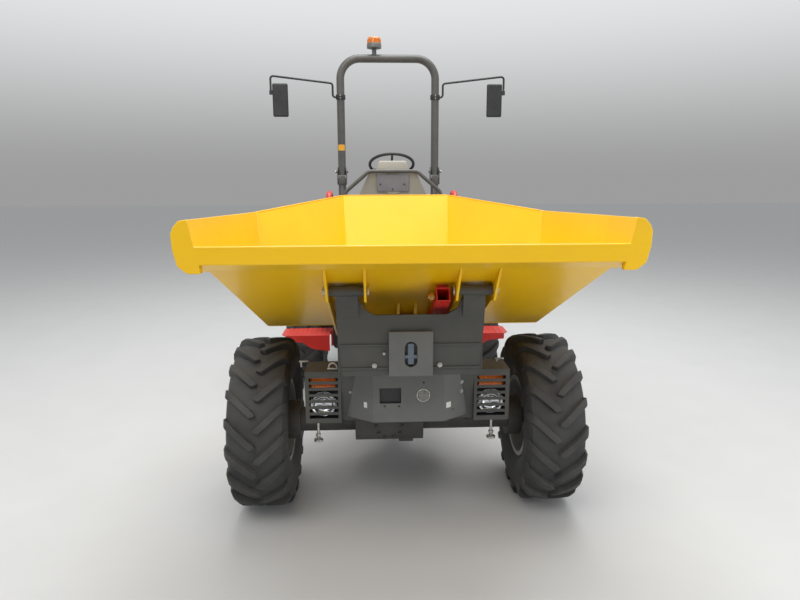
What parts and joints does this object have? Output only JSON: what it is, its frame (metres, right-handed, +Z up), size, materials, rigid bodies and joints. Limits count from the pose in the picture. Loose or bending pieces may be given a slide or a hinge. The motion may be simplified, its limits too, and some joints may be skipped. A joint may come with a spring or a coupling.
{
  "type": "articulated site dumper",
  "caption": "Compact four-wheel articulated dumper with a front-tipping skip, open operator's platform, roll-over hoop and rear engine.",
  "frame": {"origin": "on the ground below the middle of the machine's box", "axes": "+Z up, +Y to the rear of the machine, -Y the way it drives, +X to the driver's left"},
  "size_m": [2.098, 3.9, 2.878],
  "materials": {
    "yellow_paint": "gloss",
    "frame_grey": "satin",
    "console_grey": "satin",
    "red_paint": "satin",
    "black_paint": "satin",
    "rim_grey": "satin",
    "tyre": "matte",
    "chrome": "polished",
    "iron": "rough",
    "seat": "matte",
    "plastic": "matte",
    "steel": "satin",
    "lamp_glass": "clear",
    "orange_dome": "clear",
    "red_lens": "clear"
  },
  "bodies": {
    "front_chassis": {"front_frame": "frame_grey", "eye_plate": "frame_grey", "nose_plate": "frame_grey", "lamp_guards": "black_paint", "headlamps": "lamp_glass", "frame_pins": "steel", "front_axle": "iron", "front_shaft": "steel"},
    "skip": {"skip_tub": "yellow_paint", "skip_lip": "yellow_paint", "skip_rails": "yellow_paint", "skip_prop": "red_paint"},
    "tip_barrel": {"tip_barrel": "black_paint"},
    "tip_rod": {"tip_rod": "chrome"},
    "steer_barrel": {"steer_barrel": "black_paint"},
    "steer_rod": {"steer_rod": "chrome"},
    "rear_chassis": {"rear_frame": "frame_grey", "rear_axle": "iron", "counterweight": "iron", "engine_block": "iron", "gearbox": "iron", "tanks": "plastic", "floor": "console_grey", "steps": "red_paint", "mudguards": "black_paint", "seat_base": "black_paint", "seat_cushion": "seat", "seat_back": "seat", "console": "console_grey", "console_hoop": "black_paint", "steering_wheel": "plastic", "handles": "red_paint", "rops_posts": "black_paint", "rear_lamps": "red_lens"},
    "rops": {"rops_hoop": "black_paint", "beacon": "orange_dome", "mirrors": "plastic"},
    "bonnet": {"bonnet": "console_grey"},
    "wheel_front_left": {"tyre_front_left": "tyre", "rim_front_left": "rim_grey"},
    "wheel_front_right": {"tyre_front_right": "tyre", "rim_front_right": "rim_grey"},
    "wheel_rear_left": {"tyre_rear_left": "tyre", "rim_rear_left": "rim_grey"},
    "wheel_rear_right": {"tyre_rear_right": "tyre", "rim_rear_right": "rim_grey"}
  },
  "joints": [
    {"name": "articulation", "type": "hinge", "parent": "front_chassis", "child": "rear_chassis", "pos_m": [0, -0.12, 0.572], "axis": [0, 0, 1], "range_deg": [-33, 33]},
    {"name": "skip_tip", "type": "hinge", "parent": "front_chassis", "child": "skip", "pos_m": [0, -1.68, 1.185], "axis": [1, 0, 0], "range_deg": [0, 75]},
    {"name": "tip_barrel_swing", "type": "hinge", "parent": "front_chassis", "child": "tip_barrel", "pos_m": [0, -0.8, 0.4], "axis": [-1, 0, 0], "range_deg": [0, 16.85]},
    {"name": "tip_rod_slide", "type": "slide", "parent": "tip_barrel", "child": "tip_rod", "axis": [0, -0.6828, 0.7306], "range_m": [0, 0.4829]},
    {"name": "steer_barrel_swing", "type": "hinge", "parent": "front_chassis", "child": "steer_barrel", "pos_m": [0.42, -0.74, 0.57], "axis": [0, 0, 1], "range_deg": [-4.03, 4.03]},
    {"name": "steer_rod_slide", "type": "slide", "parent": "steer_barrel", "child": "steer_rod", "axis": [-0.1047, 0.9945, 0], "range_m": [-0.1995, 0.1995]},
    {"name": "spin_front_left", "type": "hinge", "parent": "front_chassis", "child": "wheel_front_left", "pos_m": [0.6975, -1.13, 0.4225], "axis": [1, 0, 0], "continuous": true},
    {"name": "spin_front_right", "type": "hinge", "parent": "front_chassis", "child": "wheel_front_right", "pos_m": [-0.6975, -1.13, 0.4225], "axis": [1, 0, 0], "continuous": true},
    {"name": "spin_rear_left", "type": "hinge", "parent": "rear_chassis", "child": "wheel_rear_left", "pos_m": [0.6975, 0.89, 0.4225], "axis": [1, 0, 0], "continuous": true},
    {"name": "spin_rear_right", "type": "hinge", "parent": "rear_chassis", "child": "wheel_rear_right", "pos_m": [-0.6975, 0.89, 0.4225], "axis": [1, 0, 0], "continuous": true},
    {"name": "rops_fold", "type": "hinge", "parent": "rear_chassis", "child": "rops", "pos_m": [0, 1.62, 1.71], "axis": [-1, 0, 0], "range_deg": [0, 100]},
    {"name": "bonnet_open", "type": "hinge", "parent": "rear_chassis", "child": "bonnet", "pos_m": [0, 1.91, 0.868], "axis": [-1, 0, 0], "range_deg": [0, 55]}
  ],
  "couplings": [
    {"joint": "tip_barrel_swing", "follows": "skip_tip", "ratio": 0.22195},
    {"joint": "tip_rod_slide", "follows": "skip_tip", "m_per_rad": 0.36811},
    {"joint": "steer_barrel_swing", "follows": "articulation", "ratio": 0.11602},
    {"joint": "steer_rod_slide", "follows": "articulation", "m_per_rad": 0.34469}
  ]
}
